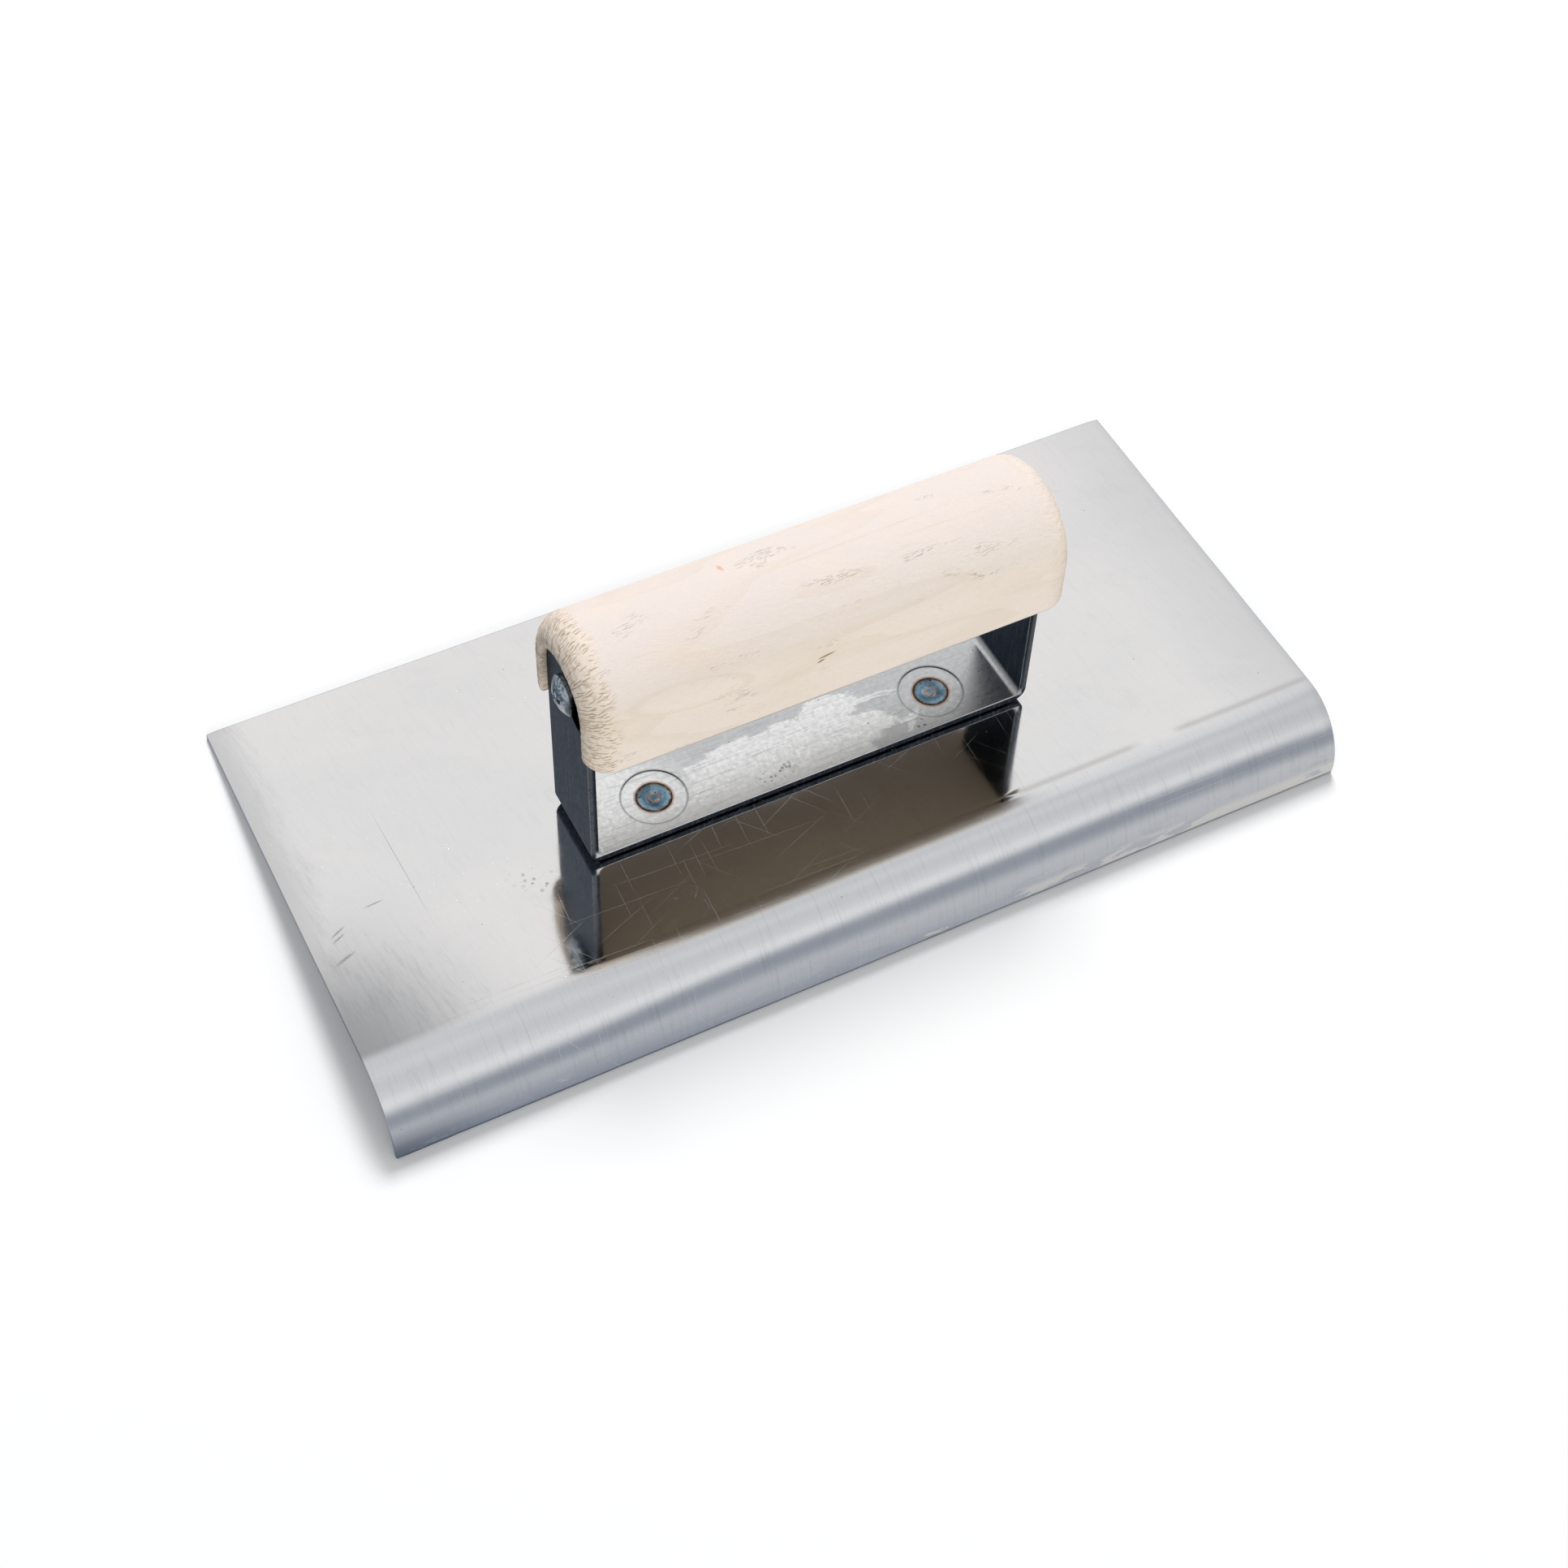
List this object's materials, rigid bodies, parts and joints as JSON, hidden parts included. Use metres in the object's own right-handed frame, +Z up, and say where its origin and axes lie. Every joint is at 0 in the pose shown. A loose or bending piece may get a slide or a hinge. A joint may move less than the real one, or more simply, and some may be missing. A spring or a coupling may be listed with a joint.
{
  "type": "concrete hand edger",
  "caption": "Hand edging trowel for concrete: stainless blade with a long side rolled down into a lip, on a bent strap bracket with a wood handle.",
  "frame": {"origin": "centre of the bounding box's bottom, on the surface that the tool stands on, with its lip and its plain edge both touching it", "axes": "+X along the blade and the handle, +Y from the rolled lip towards the plain edge, +Z up"},
  "size_m": [0.254, 0.1206, 0.081],
  "materials": {
    "blade_steel": "bright rolled stainless sheet, lightly scratched",
    "bracket_steel": "mill-finish mild steel strap, mottled",
    "weld_metal": "heat-tinted spot weld",
    "handle_wood": "bare pale hardwood, sanded, rough end grain",
    "screw_zinc": "zinc plated, mottled"
  },
  "bodies": {
    "root": {"blade": "blade_steel", "handle_bracket": "bracket_steel", "spot_weld_left": "weld_metal", "spot_weld_right": "weld_metal", "wood_handle": "handle_wood", "handle_screw_left": "screw_zinc", "handle_screw_right": "screw_zinc"}
  },
  "joints": []
}
